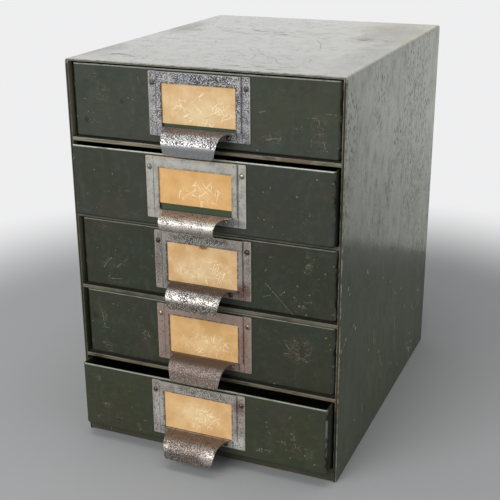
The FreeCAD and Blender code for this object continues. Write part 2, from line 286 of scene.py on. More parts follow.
def enamel(
    name, ground, seed, gloss, sheen=0.3, origin=(0, 0, 0), clouds=OLIVE, smooth=0.2, **fixed
):
    """Stoved green enamel: clouds of olive, dull spots and a fine orange peel."""
    finish = Finish(
        name,
        ground,
        rough=0.6,
        coat=gloss,
        origin=origin,
        Coat_Roughness=smooth,
        Specular_IOR_Level=sheen,
        **fixed,
    )
    cloud = finish.noise(70, detail=3, seed=seed)
    finish.lay(cloud.fade(0.42, 0.68), clouds)
    dull = finish.noise(14, (1, 1, 1.6), detail=4, rough=0.6, seed=seed + 1)
    finish.lay(dull.fade(0.45, 0.75) * 0.7, GREY_GREEN, rough=0.68, coat=0.5 * gloss)
    finish.lay(finish.noise(3.0, detail=1, seed=seed + 2), height=0.02)
    return finish


def weather(finish, seed, specks=0.5, scratches=0.3, chips=1.0, face=FRONT):
    """Years of use on enamel: pale specks, hairline scratches, chips with brown rims."""
    patchy = finish.noise(38, detail=2, seed=seed + 3)
    ragged = finish.shaken(2.5, 0.8, seed)
    fine = finish.dots(4.0, 0.42, seed + 4) * patchy.fade(0.42, 0.6)
    finish.lay(fine * specks, WORN, rough=0.7, coat=0.0)
    bent = finish.shaken(14, 3, seed + 0.5)
    rising = finish.scores(6, 0.3, 3.0, 50, seed + 5, face, bent)
    falling = finish.scores(5, 0.3, 4.0, -35, seed + 6, face, bent)
    worn = finish.noise(24, detail=2, seed=seed + 8).fade(0.5, 0.62)
    finish.lay(rising.most(falling) * worn * scratches, WORN, rough=0.6, coat=0.2)
    for radius, strength, colour, rough in ((1.3, 0.55, BROWN, 0.8), (0.7, 0.8, BARE, 0.6)):
        chipped = finish.dots(14, radius, seed + 7, ragged) * strength * chips
        finish.lay(chipped, colour, rough=rough, coat=0.0, height=-0.03)


# wear of the casing that the photograph shows, in mm in the frame
FLANK_CHIPS = (  # on the right side: y, z, radius
    (-121, 280, 1.6), (-123, 246, 1.2), (78, 368, 1.0), (-91, 192, 1.7), (-86, 189, 1.0),
    (-155, 198, 1.5), (-150, 191, 1.1), (-172, 141, 1.6), (-158, 147, 1.3), (-133, 151, 1.2),
    (-127, 146, 1.4), (-30, 163, 1.1), (2, 146, 1.0), (28, 123, 1.0), (52, 119, 1.0), (75, 88, 1.3),
    (112, 72, 1.2), (119, 66, 1.0), (133, 62, 1.0), (140, 84, 1.4), (147, 80, 1.1), (100, 22, 1.6),
    (108, 16, 2.0), (116, 24, 1.6), (108, 38, 1.4), (96, 30, 1.2), (54, 20, 1.2), (-75, 99, 1.0),
    (-35, 79, 1.2), (-18, 55, 1.1), (-120, 40, 1.1), (20, 38, 0.9),
)
FLANK_RUNS = (  # y and z of both ends
    (-158, 147, -171, 139), (103, 31, 110, 4), (141, 88, 143, 60), (-29, 78, -23, 41),
    (-93, 48, -91, 33), (-60, 130, -56, 96), (30, 95, 34, 52), (92, 26, 124, 12),
)
CREASES = (  # on the top: x and y of both ends
    (0, -58, 10, -72), (8, -58, 20, -80), (20, -80, 31, -93), (5, -88, 15, -106),
    (20, -90, 28, -118), (36, -97, 50, -112), (50, -112, 61, -134), (56, -100, 70, -114),
    (41, -130, 49, -139), (80, -100, 84, -116), (45, 20, 58, -8), (58, -8, 71, -42),
    (-52, -25, -46, -40), (36, 13, 40, 0), (-98, 137, -92, 125), (78, 86, 83, 68),
    (49, -49, 52, -58),
)
STAINS = (  # on the top: the middle, the half sizes, colour, strength
    ((128, -20), (34, 190), "#3A3B33", 0.36), ((104, 118), (46, 78), "#453F30", 0.48),
    ((92, 52), (24, 44), "#5E5246", 0.4), ((-128, 62), (22, 70), "#423F33", 0.5),
    ((-112, 40), (26, 34), "#4E463A", 0.35), ((-132, -120), (20, 56), "#4A4340", 0.4),
)
GRUBBY = (  # on the top: the middle, the half sizes
    ((-100, -142), (34, 18)), ((-15, 54), (88, 34)), ((60, -158), (60, 14)),
    ((104, 30), (34, 26)),
)


def casing_enamel():
    """The casing: streaky flanks, a dusty top lightened partly as painted sheen, and the rubbed
    hems round its mouth.
    """
    finish = enamel("casing_enamel", shade("#2F3222"), 2.0, 1.0, smooth=0.16, Coat_IOR=1.6)
    across, into, up = finish.facing
    top, flank = up.fade(0.6, 0.9), abs(across).fade(0.6, 0.9)
    right = finish.x.fade(0, 1)
    # the flanks: broad dull patches and short upright scores, duller lower down, and greener and
    # darker in clouds towards the bottom
    finish.lay(flank * 0.6, shade("#3B4428"))
    blotch = finish.noise(26, (1, 1, 1.8), detail=4, rough=0.6, seed=4)
    finish.lay(flank * blotch.fade(0.42, 0.7) * 0.45, rough=0.68, coat=0.72)
    streaks = finish.noise(3.0, (0.8, 0.8, 3.2), detail=3, rough=0.7, seed=3)
    finish.lay(flank * streaks.fade(0.5, 0.68) * 0.2, shade("#23251D"), rough=0.75, coat=0.3)
    bent = finish.shaken(12, 2, 4)
    upright = ((2.6, 92), (3.4, 84), (2.2, 100))  # half the length, and the turn from level
    scores = finish.any_of(
        [finish.scores(reach, 0.8, 5.4, turn, 6 + reach, FLANK, bent) for reach, turn in upright]
    )
    busy = finish.noise(40, (1, 1, 2), detail=3, rough=0.6, seed=16).fade(0.44, 0.58)
    finish.lay(flank * scores * busy * 0.9, shade("#1D1F18"), rough=0.8, coat=0.1)
    duller = flank * (finish.z + finish.y * 0.36).fade(205, 150)
    finish.lay(duller * 0.7, rough=0.7, coat=0.15)
    lower_flank = flank * finish.z.fade(300, 40)
    green_rub = finish.noise(24, (1, 1, 1.8), detail=4, rough=0.65, seed=7).fade(0.45, 0.68)
    finish.lay(lower_flank * green_rub * 0.5, shade("#4E563A"), rough=0.72)
    mossy = finish.noise(12, (1, 1, 2.4), detail=4, rough=0.65, seed=20).fade(0.42, 0.62)
    front_foot = finish.patch((-45, 55), (80, 70), bent, soft=0.9, face=FLANK)
    back_foot = finish.patch((110, 50), (56, 80), bent, soft=0.9, face=FLANK)
    finish.lay(
        lower_flank * mossy * front_foot.most(back_foot) * 0.55, shade("#525A38"), rough=0.72
    )
    murk = finish.noise(15, (1, 1, 2.6), detail=4, rough=0.65, seed=17).fade(0.5, 0.66)
    finish.lay(lower_flank * murk * 0.4, shade("#262A1A"), rough=0.75)
    rain = finish.noise(2.6, (1, 1, 7), detail=3, rough=0.65, seed=8).fade(0.56, 0.68)
    wet = finish.noise(34, (1, 1, 2), detail=1, seed=12).fade(0.46, 0.6)
    finish.lay(flank * rain * wet * finish.z.fade(200, 80) * 0.4, shade("#84846A"), rough=0.7)
    # the marks measured on the right flank: chips in dark rings, and pale runs
    spots = finish.nearest(FLANK_CHIPS, finish.shaken(2.5, 1.6, 5), FLANK, tall=1.7)
    rings, bare = spots.fade(2.0, 1.2), spots.fade(1.25, 0.6)
    finish.lay(flank * right * rings * 0.4, shade("#1F211A"), rough=0.7, coat=0.3)
    finish.lay(flank * right * bare * 0.9, shade("#A8AA9C"), rough=0.6, coat=0.1)
    runs = finish.strokes(FLANK_RUNS, 1.2, bent, FLANK) * streaks.fade(0.4, 0.55)
    finish.lay(flank * right * runs * 0.7, shade("#A8A070"), rough=0.7)
    # the top: a film of dust, paled further as painted sheen for its glare, finely rubbed from side
    # to side, yellow at the back right
    rubbed = finish.noise(2.2, (6, 0.8, 1), detail=3, rough=0.65, seed=5)
    finish.lay(top * (rubbed.fade(0.3, 0.75) * 0.25 + 0.6), DUST_AND_SHEEN, rough=0.4)
    finish.lay(top * rubbed.fade(0.56, 0.72) * 0.14, shade("#3A3C34"), rough=0.6, coat=0.6)
    clouded = finish.noise(45, (2, 1, 1), detail=4, rough=0.6, seed=18)
    finish.lay(top * clouded.fade(0.45, 0.7) * 0.35, shade("#62645A"), coat=0.8)
    stained = finish.noise(60, detail=3, seed=6).fade(0.3, 0.6)
    yellow = top * stained * finish.x.fade(-10, 120) * finish.y.fade(-80, 120)
    finish.lay(yellow * 0.6, shade("#9C9266"), rough=0.6, coat=0.6)
    smeared = finish.shaken(40, 14, 7)
    for centre, size, colour, strength in STAINS:
        stain = finish.patch(centre, size, smeared, soft=0.75, face=TOP)
        mask = top * (stain * clouded.fade(0.25, 0.5)) * strength
        finish.lay(mask, shade(colour), rough=0.6, coat=0.4)
    nicks = finish.scores(2.5, 0.45, 5.0, 4, 9.0, TOP, bent)
    nicks = nicks.most(finish.scores(1.8, 0.45, 6.0, 60, 9.7, TOP, bent))
    crowd = finish.noise(40, detail=2, seed=11).fade(0.42, 0.58)
    finish.lay(top * nicks * crowd * 0.8, shade("#1E1F18"), rough=0.9, coat=0.0)
    # painted shade: dark lines drawn along the creases in the top
    crease_shade = finish.strokes(CREASES, 0.55, finish.shaken(11, 4, 9), TOP)
    broken = finish.noise(4, detail=2, seed=19).fade(0.32, 0.46)
    finish.lay(top * crease_shade * broken * 0.8, shade("#26251C"), rough=0.8, coat=0.2)
    smudge = finish.noise(9, (2, 0.8, 1), detail=4, rough=0.7, seed=15).fade(0.5, 0.64)
    grubby = finish.any_of(
        [finish.patch(centre, size, soft=0.7, face=TOP) for centre, size in GRUBBY]
    )
    finish.lay(top * smudge * grubby * 0.8, shade("#2A2B24"), rough=0.7, coat=0.2)
    weather(finish, 4.0, specks=0.5, scratches=0.3, face=FLANK)
    # the mouth's hems: olive, a painted-shade line along the fold, rubbed on the outer edge, brown
    # in patches
    mouth = (0 - into).fade(0.6, 0.9) * finish.y.fade(MOUTH + 3, MOUTH + 1)
    head = mouth * finish.z.fade(HEAD - 6, HEAD - 3)
    finish.lay(mouth, shade("#2E2F24"), rough=0.65, coat=0.15)
    patches = finish.noise(22, (1, 1, 2), detail=4, rough=0.6, seed=13)
    finish.lay(mouth * patches.fade(0.48, 0.62) * 0.7, shade("#523F33"), rough=0.8, coat=0.0)
    edge = abs(finish.x).fade(SIDE - 1.2, SIDE - 0.6) * patches.fade(0.66, 0.42)
    finish.lay(mouth * edge * (right * 0.5 + 0.2), WORN, rough=0.6, coat=0.2)
    finish.lay(head * 0.85, shade("#76766C"), rough=0.6, coat=0.3)
    inner = abs(finish.x).fade(SIDE - 1.5, SIDE - 2.5)  # the folded sheet's side to the drawers
    # painted light: the returns' inner faces near the mouth are lightened, more so higher up, where
    # the key light doesn't reach them
    returns_painted_light = finish.y.fade(MOUTH + 10.5, MOUTH + 4.5) * flank * inner
    finish.lay(returns_painted_light * finish.z.fade(120, 260) * 0.9, shade("#8C8872"), rough=0.6, coat=0.2)
    # painted shade: a near-black line along the hems' rounded fold, just behind their front face
    fold_shade = finish.y.fade(MOUTH + 0.15, MOUTH + 0.4) * finish.y.fade(MOUTH + 1.5, MOUTH + 0.8)
    finish.lay(fold_shade * (0 - into).fade(0.2, 0.9) * 0.8, DARK, rough=0.9, coat=0.0)
    rubs = finish.noise(7, detail=3, rough=0.6, seed=14).fade(0.38, 0.6)
    left = abs(into).fade(0.2, 0.6) * finish.z.fade(HEAD - 2, HEAD - 6) * (1 - right)
    finish.lay(finish.bends() * rubs * (0.75 - left * 0.55), BARE, rough=0.5, coat=0.3)
    return finish.done()


def rail_enamel(name, seed, tan="#837C66", rusty=0.2):
    """A shelf: dark inside, its front rail rubbed tan by the drawers, with its top darkened as
    painted shade under the drawers.
    """
    finish = enamel(name + "_enamel", GREEN, seed, 0.4)
    weather(finish, seed, scratches=0.3)
    front = finish.y.fade(MOUTH + 6.5, MOUTH + 3.5)
    rubbed = finish.noise(14, (2.5, 1, 1), detail=4, rough=0.6, seed=seed + 8)
    finish.lay(front * rubbed.fade(0.28, 0.5) * 0.95, shade(tan), rough=0.6, coat=0.1)
    brown = rubbed.fade(0.62 - 0.2 * rusty, 0.74 - 0.2 * rusty) * finish.x.fade(-60, 120)
    finish.lay(front * brown * 0.75, shade("#584433"), rough=0.8, coat=0.0)
    streak = finish.noise(5, (8, 1, 0.25), detail=3, rough=0.6, seed=seed + 9)
    finish.lay(front * streak.fade(0.52, 0.62) * 0.6, shade("#2E2C20"), rough=0.7)
    # painted shade: the front rail's up-facing top, under the drawers' feet, is near-black
    finish.lay(front * finish.facing[2].fade(0.5, 0.9), DARK, rough=0.9, coat=0.0)
    return finish.done()


# wear that shows on each drawer's front, in mm from the middle of its lower edge
CHIPS = {  # x, up, radius
    1: (
        (-75, 41, 0.9), (-70, 40, 0.9), (-119, 25, 0.9), (-114, 24, 0.7), (-110, 62, 0.9),
        (56, 3, 1.2), (72, 15, 0.8), (93, 26, 0.9), (98, 28, 0.9), (113, 30, 0.8), (118, 27, 0.7),
        (121, 16, 0.8), (122, 8, 0.8), (105, 7, 0.7), (132, 12, 0.9),
    ),
    2: (
        (-110, 48, 1.1), (-90, 46, 1.1), (-119, 23, 0.9), (-82, 25, 0.7), (-131, 12, 0.9),
        (73, 50, 1.1), (66, 45, 0.8), (98, 44, 1.2), (117, 62, 1.2), (132, 60, 1.3), (61, 20, 1.0),
        (67, 19, 1.1), (75, 13, 1.0), (111, 28, 1.0), (105, 21, 0.6), (85, 7, 0.6),
    ),
    3: (
        (-107, 11, 1.2), (-119, 40, 1.0), (-98, 40, 0.9), (-93, 53, 0.8), (-79, 51, 0.8),
        (-56, 40, 0.9), (-103, 31, 1.1), (-96, 23, 1.2), (-112, 21, 1.0), (96, 31, 1.3),
        (108, 24, 1.2), (93, 19, 1.0), (98, 11, 1.6), (102, 12, 1.0), (105, 3, 1.3), (123, 47, 1.1),
        (83, 23, 1.2), (103, 46, 1.0), (108, 54, 1.0), (112, 60, 0.8), (131, 56, 0.9),
        (132, 8, 1.1), (133, 14, 0.9), (88, 0, 1.0),
    ),
    4: (
        (-104, 58, 1.2), (-99, 57, 0.9), (-86, 54, 0.8), (-130, 35, 1.1), (-115, 30, 0.9),
        (-118, 12, 1.2), (-114, 10, 0.9), (-68, 34, 1.0), (125, 60, 1.5), (129, 54, 0.8),
        (130, 49, 0.9), (73, 2, 1.4), (94, 52, 1.0), (106, 32, 1.3), (84, 50, 0.8), (99, 45, 0.8),
        (104, 49, 0.7), (110, 42, 0.8),
    ),
    5: (
        (-110, 27, 1.0), (-106, 28, 0.8), (-78, 30, 0.8), (-119, 11, 1.1), (-80, 48, 0.8),
        (72, 45, 1.1), (72, 40, 0.9), (75, 34, 1.1), (88, 27, 1.1), (93, 19, 1.0), (97, 11, 1.2),
        (112, 17, 1.3), (122, 9, 1.4), (97, 56, 1.0), (101, 32, 1.4), (98, 38, 1.3), (105, 24, 0.9),
        (62, 11, 1.1), (67, 14, 1.4), (75, 13, 1.3), (70, 0, 1.1), (78, 0.5, 1.0), (85, 0, 1.2),
        (120, 1, 0.9),
    ),
}
PITS = {  # dark ones: x, up, radius
    1: ((-82, 37, 2.4), (-122, 17, 3.0), (96, 24, 1.2)),
    2: ((97, 43, 1.2), (74, 51, 0.8), (66, 18, 0.9), (132, 58, 1.1)),
    3: ((76, 31, 1.1), (100, 9, 1.0), (95, 30, 0.8)),
    4: ((-98, 56, 0.9), (-126, 42, 4.0), (100, 44, 1.2)),
    5: ((99, 35, 0.9), (-95, 12, 2.4), (71, 37, 1.0)),
}
SCRATCHES = {  # x and up of both ends
    1: (
        (-64, 62, -62, 53), (-128, 37, -120, 37), (55, 37, 65, 40), (103, 36, 112, 37),
        (120, 41, 132, 41), (113, 38, 115, 30), (63, 13, 80, 17), (66, 15, 80, 15),
        (108, 20, 107, 10), (118, 19, 121, 8),
    ),
    2: ((-100, 28, -93, 28), (-78, 30, -70, 31), (97, 46, 101, 43)),
    3: (
        (63, 30, 93, 0), (78, 18, 83, 24), (66, 56, 74, 57), (63, 40, 66, 47), (101, 15, 112, 17),
        (60, 15, 70, 18), (-113, 20, -103, 32), (-98, 22, -83, 34), (-105, 9, -92, 10),
        (103, 46, 107, 56),
    ),
    4: (
        (-118, 50, -116, 32), (-116, 30, -108, 30), (-72, 29, -67, 35), (-66, 35, -63, 27),
        (-120, 12, -108, 9), (-114, 3, -106, 4), (93, 54, 94, 46), (84, 48, 90, 40),
        (82, 36, 92, 38),
    ),
    5: (
        (98, 42, 102, 30), (95, 53, 97, 58), (62, 10, 66, 15), (-73, 13, -68, 5),
        (-114, 28, -104, 28), (-119, 12, -118, 7), (-66, 17, -60, 18), (85, 24, 92, 28),
        (101, 29, 103, 22),
    ),
}
SCUFFS = {  # x, up, half width, half height, strength
    1: (
        (-103, 44, 10, 12, 0.6), (-117, 18, 11, 9, 0.5), (-113, 61, 8, 6, 0.4),
        (115, 30, 9, 12, 0.7), (71, 15, 14, 6, 0.8), (116, 13, 9, 8, 0.7), (95, 27, 9, 5, 0.4),
    ),
    2: ((110, 26, 11, 9, 0.3), (-72, 8, 14, 6, 0.3), (68, 22, 10, 12, 0.2)),
    3: (
        (107, 53, 7, 12, 0.8), (99, 12, 10, 8, 0.6), (-113, 64, 10, 5, 0.5),
        (-104, 27, 15, 10, 0.5), (-100, 7, 14, 4, 0.4),
    ),
    4: (
        (99, 42, 17, 16, 1.0), (-117, 41, 7, 13, 0.7), (-67, 28, 7, 9, 0.7), (-114, 9, 11, 5, 0.6),
        (-96, 42, 14, 8, 0.3),
    ),
    5: (
        (69, 13, 11, 4, 1.0), (-110, 27, 8, 4, 0.9), (-118, 11, 4, 5, 0.6), (-95, 14, 7, 6, 0.4),
        (-71, 9, 4, 7, 0.8), (100, 32, 5, 12, 0.7), (88, 26, 6, 4, 0.5), (110, 20, 16, 11, 0.35),
        (-117, 58, 8, 5, 0.4),
    ),
}
SCUFF_COLOURS = {1: "#645649", 2: "#5A544C", 3: "#5E5E44", 4: "#62524A", 5: "#66665A"}
DRAWER_GREENS = {  # ground and clouds
    1: ("#32372E", "#333729"),
    2: ("#2A2F27", "#282C20"),
    3: ("#262A1E", "#242818"),
    4: ("#2B2E22", "#2B2E1D"),
    5: ("#323627", "#31341F"),
}
RIM = {1: 0.75, 2: 1.0, 3: 0.45, 4: 0.5, 5: 0.6}  # how brightly the folded top edge is rubbed
EDGE = {1: 0.2, 2: 0.2, 3: 0.35, 4: 0.25, 5: 0.7}  # and the bend at the right


def drawer_enamel(n):
    """A drawer's shell, with the chips, scratches and brown scuffs of its own front."""
    low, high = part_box(f"drawer_{n}_shell")
    side, rim_top = high.x * MM, (high.z - low.z) * MM - EARS
    ground, clouds = (shade(code) for code in DRAWER_GREENS[n])
    finish = enamel(
        f"drawer_{n}_enamel", ground, 20.0 + 5 * n, 0.35, 0.15, drawer_foot(n), clouds
    )
    weather(finish, 21.0 + 5 * n, specks=0.25, scratches=0.14, chips=0.35)
    # the front: clouds of several sizes under the scuffs, scratches and chips
    front = finish.y.fade(5, 3)
    ragged = finish.shaken(1.8, 0.7, n)
    smear = finish.noise(9, (1, 1, 3), detail=3, rough=0.6, seed=n + 50)
    finish.lay(front * smear.fade(0.55, 0.75) * 0.3, shade("#4A4C42"), rough=0.7)
    warm = finish.noise(34, (1.3, 1, 1), detail=3, rough=0.6, seed=n + 52)
    finish.lay(front * warm.fade(0.5, 0.7) * 0.5, shade("#36312C"), rough=0.65)
    finish.lay(front * warm.fade(0.46, 0.3) * 0.5, shade("#27332A"))
    faint = finish.noise(5, (1.4, 1, 1), detail=4, rough=0.7, seed=n + 53)
    finish.lay(front * faint.fade(0.52, 0.7) * 0.35, shade("#45473E"), rough=0.7)
    finish.lay(front * faint.fade(0.46, 0.3) * 0.3, shade("#20231C"), rough=0.7)
    mottle = finish.noise(3.2, (1.6, 1, 0.8), detail=4, rough=0.7, seed=n + 55).fade(0.48, 0.64)
    around = finish.shaken(9, 3.5, n + 0.6)
    worn = finish.any_of(
        [
            finish.patch((x, up), (1.2 * wide, 1.2 * tall), around, soft=0.8) * strength
            for x, up, wide, tall, strength in SCUFFS[n]
        ]
    )
    finish.lay(front * worn * mottle * 0.95, shade(SCUFF_COLOURS[n]), rough=0.75, coat=0.0)
    bent = finish.shaken(7, 2, n + 0.3)
    hatched = finish.any_of(
        [finish.scores(2.6, 0.4, 3.4, turn, n + turn, FRONT, bent) for turn in (50, -35, 100)]
    )
    thick = finish.noise(6, detail=2, seed=n + 59).fade(0.42, 0.58)
    scored = front * hatched * (worn * 1.4).least(1) * thick
    finish.lay(scored * 0.35, shade("#7C7C70"), rough=0.65, coat=0.1)
    marks = finish.strokes(SCRATCHES[n], 0.5, ragged)
    broken = finish.noise(2.4, detail=2, seed=n + 57).fade(0.4, 0.52)
    finish.lay(front * marks * broken * 0.45, shade("#85857A"), rough=0.6, coat=0.1)
    pits = finish.nearest(PITS[n], ragged)
    finish.lay(front * pits.fade(1.2, 0.4) * 0.55, shade("#1E1F1A"), rough=0.8, coat=0.0)
    chips = finish.nearest(CHIPS[n], ragged)
    finish.lay(front * chips.fade(1.8, 1.0) * 0.5, shade("#26241D"), rough=0.7, coat=0.0)
    finish.lay(front * chips.fade(1.1, 0.3) * 0.55, shade("#85867A"), rough=0.7, coat=0.0)
    # the paint behind the card holder's window is fresher
    beside = abs(finish.x - holder_middle(n))
    window = beside.fade(WINDOW + 1, WINDOW) * finish.z.fade(14, 16) * finish.z.fade(62, 60)
    finish.lay(front * window, shade("#3C4531"), rough=0.5, coat=0.4)
    # the folded rim is rubbed bright; the foot and the front's side bends are darkened as painted
    # shade
    rubs = finish.noise(10, detail=3, rough=0.6, seed=n + 70)
    rim = finish.z.fade(rim_top - 1.5, rim_top - 0.4) * finish.y.fade(4, 2)
    finish.lay(rim * (rubs.fade(0.3, 0.5) * 0.5 + 0.5) * RIM[n], PALE, rough=0.5, coat=0.2)
    # painted shade along the drawer's foot
    finish.lay(finish.z.fade(1.6, 0.4) * 0.8, DARK, rough=0.85, coat=0.0)
    # painted shade on the front's rounded side edges
    side_bend_shade = abs(finish.x).fade(side - 2.8, side - 0.8) * finish.y.fade(10, 2)
    finish.lay(side_bend_shade * 0.85, shade("#1C1D16"), rough=0.85, coat=0.0)
    nicks = finish.noise(3, (1, 1, 2), detail=3, rough=0.6, seed=n + 72).fade(0.62, 0.7)
    fraying = finish.noise(6, (1, 1, 2.5), detail=3, rough=0.6, seed=n + 73).fade(0.4, 0.58)
    edge = finish.x.fade(side - 2.4, side - 1.5) * finish.y.fade(3.2, 1.6) * finish.z.fade(1, 3)
    finish.lay(edge * fraying * EDGE[n], shade("#7C7D7C"), rough=0.55, coat=0.2)
    corner = finish.bends() * finish.y.fade(5, 3) * finish.z.fade(2, 4)
    finish.lay(corner * nicks * 0.8, WORN, rough=0.5, coat=0.2)
    return finish.done()


def inside_enamel():
    """Drawer bottoms and backs: the same enamel, dusty, scratched and smeared by use."""
    finish = enamel("inside_enamel", GREEN, 50.0, 0.4)
    level = finish.facing[2].fade(0.5, 0.9)
    dust = finish.noise(18, detail=5, rough=0.65, seed=51)
    finish.lay(level * (dust.fade(0.35, 0.75) * 0.22 + 0.06), DUST_YELLOW, rough=0.9, coat=0.0)
    oil = finish.noise(34, detail=3, rough=0.55, seed=53)
    finish.lay(level * oil.fade(0.56, 0.66) * 0.6, shade("#1B1B14"), rough=0.4)
    bent = finish.shaken(25, 4, 51)
    ways = ((14, 80), (10, 100), (7, 20))  # half the length, and the turn from crosswise
    slid = finish.any_of(
        [finish.scores(reach, 0.4, 7, turn, reach, TOP, bent) for reach, turn in ways]
    )
    patchy = finish.noise(6, detail=2, seed=55).fade(0.4, 0.55)
    finish.lay(level * slid * patchy * 0.5, WORN, rough=0.6, coat=0.1)
    weather(finish, 52.0, specks=0.6, scratches=0.2, face=TOP)
    return finish.done()


def back_enamel():
    """The casing's back: flatter paint, rubbed by what it stood against, rusty at its foot."""
    low, high = (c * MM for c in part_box("back_panel"))
    finish = enamel("back_panel_enamel", shade("#2C2F26"), 41.0, 0.5)
    cloudy = finish.noise(55, detail=4, rough=0.6, seed=42)
    finish.lay(cloudy.fade(0.4, 0.7) * 0.5, shade("#3C3F34"), rough=0.75, coat=0.2)
    scuffs = finish.noise(16, (3, 1, 0.8), detail=4, rough=0.65, seed=44)
    band = finish.patch((20, 250), (120, 70), soft=0.8)
    band = band.most(finish.patch((-60, 120), (70, 40), soft=0.9))
    finish.lay(scuffs.fade(0.52, 0.66) * band * 0.5, WORN, rough=0.75, coat=0.1)
    bent = finish.shaken(25, 5, 44)
    ways = ((26, 6), (14, -14))  # half the length, and the turn from level
    rubs = finish.any_of(
        [finish.scores(reach, 0.45, 11, turn, reach, FRONT, bent) for reach, turn in ways]
    )
    finish.lay(rubs * scuffs.fade(0.46, 0.6) * 0.45, BARE, rough=0.6, coat=0.1)
    damp = finish.noise(20, (1, 1, 1.6), detail=5, rough=0.65, seed=46)
    foot = finish.z.fade(low.z + 70, low.z)
    finish.lay(foot * (damp + foot * 0.12).fade(0.52, 0.64) * 0.8, BROWN, rough=0.85, coat=0.0)
    rusty = foot * (damp + foot * 0.08).fade(0.6, 0.68)
    finish.lay(rusty * 0.7, RUST, rough=0.9, coat=0.0, height=-0.03)
    # painted shade: darker along the panel's side and top edges
    beside = abs(finish.x).fade(high.x - 6, high.x - 1)
    finish.lay(
        beside.most(finish.z.fade(high.z - 6, high.z - 1)) * 0.6, DARK, rough=0.85, coat=0.0
    )
    weather(finish, 41.0, specks=0.6, scratches=0.12)
    return finish.done()


coat("casing_wrap", casing_enamel())
coat("back_panel", back_enamel())
coat("bottom_panel", rail_enamel("bottom_panel", 43.0))
for part, seed, tan, rusty in (
    ("shelf_1", 30.0, "#827C68", 1.0),
    ("shelf_2", 31.0, "#5A5744", 0.4),
    ("shelf_3", 32.0, "#615C49", 0.3),
    ("shelf_4", 33.0, "#6C6552", 0.5),
    ("base_shelf", 34.0, "#3C3C2E", 0.1),
):
    coat(part, rail_enamel(part, seed, tan, rusty))
inside = inside_enamel()
for n in DRAWERS:
    coat(f"drawer_{n}_shell", drawer_enamel(n))
    coat(f"drawer_{n}_bottom", inside)
    coat(f"drawer_{n}_back", inside)

# Steel

# Each pull: the colours of its frame, its clouds, its pits, the tongue's root, curl and tip (its
# own tint darkened as painted shade), and how thickly the frame, the curl and the tip are pitted.
PULLS = {
    1: ("#8E8D8E", "#73737A", "#241F1E", "#7E6D64", "#B6B4B2", "#6E6F72", 0.65, 1.0, 0.15),
    2: ("#A09E98", "#8C8985", "#3A322C", "#A48D7C", "#ADA69F", "#ADA69F", 0.1, 0.75, 0.6),
    3: ("#908A84", "#78736F", "#2A231D", "#604C40", "#A69F98", "#6A625B", 0.35, 0.9, 0.6),
    4: ("#978379", "#8A776C", "#463830", "#604E44", "#6A5C54", "#665850", 0.2, 0.45, 0.5),
    5: ("#AAA59F", "#948B83", "#33291F", "#746050", "#7A6C62", "#5A4E48", 0.4, 0.65, 0.6),
}
# how rough each curl is, and how metallic
CURLS = {1: (0.42, 0.85), 2: (0.42, 0.85), 3: (0.42, 0.85), 4: (0.58, 0.6), 5: (0.58, 0.6)}
# how strong the dirt is round each pull's rivets, and on its window's edges
DIRT = {1: (0.5, 0.85), 2: (0.5, 0.4), 3: (0.75, 0.85), 4: (0.5, 0.85), 5: (0.75, 0.85)}
# places on a pull, in mm from the drawer's middle and up from its foot
TINTS = {  # x, up, half width, half height, colour, strength
    1: (
        (-12, 63, 22, 6, "#667082", 0.5), (20, 64, 16, 5, "#5A4E54", 0.6),
        (42, 14, 14, 10, "#666A74", 0.5), (-47, 30, 7, 30, "#A09E9E", 0.6),
    ),
    2: (
        (36, 12, 18, 6, "#585C62", 0.8), (-10, 64, 44, 5, "#AEAEA6", 0.6),
        (-46, 38, 6, 26, "#A6A6A2", 0.5),
    ),
    3: (
        (42, 16, 12, 13, "#62403A", 0.9), (-40, 40, 5, 22, "#76808A", 0.5),
        (-6, 63, 30, 5, "#8E8E84", 0.6), (-49, 34, 5, 26, "#74665E", 0.7),
    ),
    4: ((40, 38, 9, 22, "#8A665C", 0.6), (-30, 63, 20, 5, "#9C8E84", 0.5)),
    5: (
        (42, 16, 12, 10, "#CFCDC8", 0.95), (-45, 36, 8, 28, "#BDBBB6", 0.75),
        (44, 56, 10, 12, "#74584E", 0.8), (6, 64, 30, 4, "#B4B0A8", 0.5),
    ),
}
# where a frame is more pitted: x, up, half width, half height, how much more
BANDS = {1: (8, 64, 40, 6, 0.2), 3: (-6, 64, 40, 6, 0.6), 5: (4, 64, 40, 5, 0.4)}
STREAKS = {  # where a curl is rubbed bright: x, up, half width, half height, colour
    3: ((-10, 14, 24, 4, "#D8D4D0"),),
    5: ((21, 7, 13, 8, "#CFC8C0"), (-27, 8, 5, 9, "#928B84")),
}
RIVETS = (-47.2, 57.8), (47.2, 57.8), (-29.5, 11.7), (29.5, 11.7)  # x from the pull's middle, up


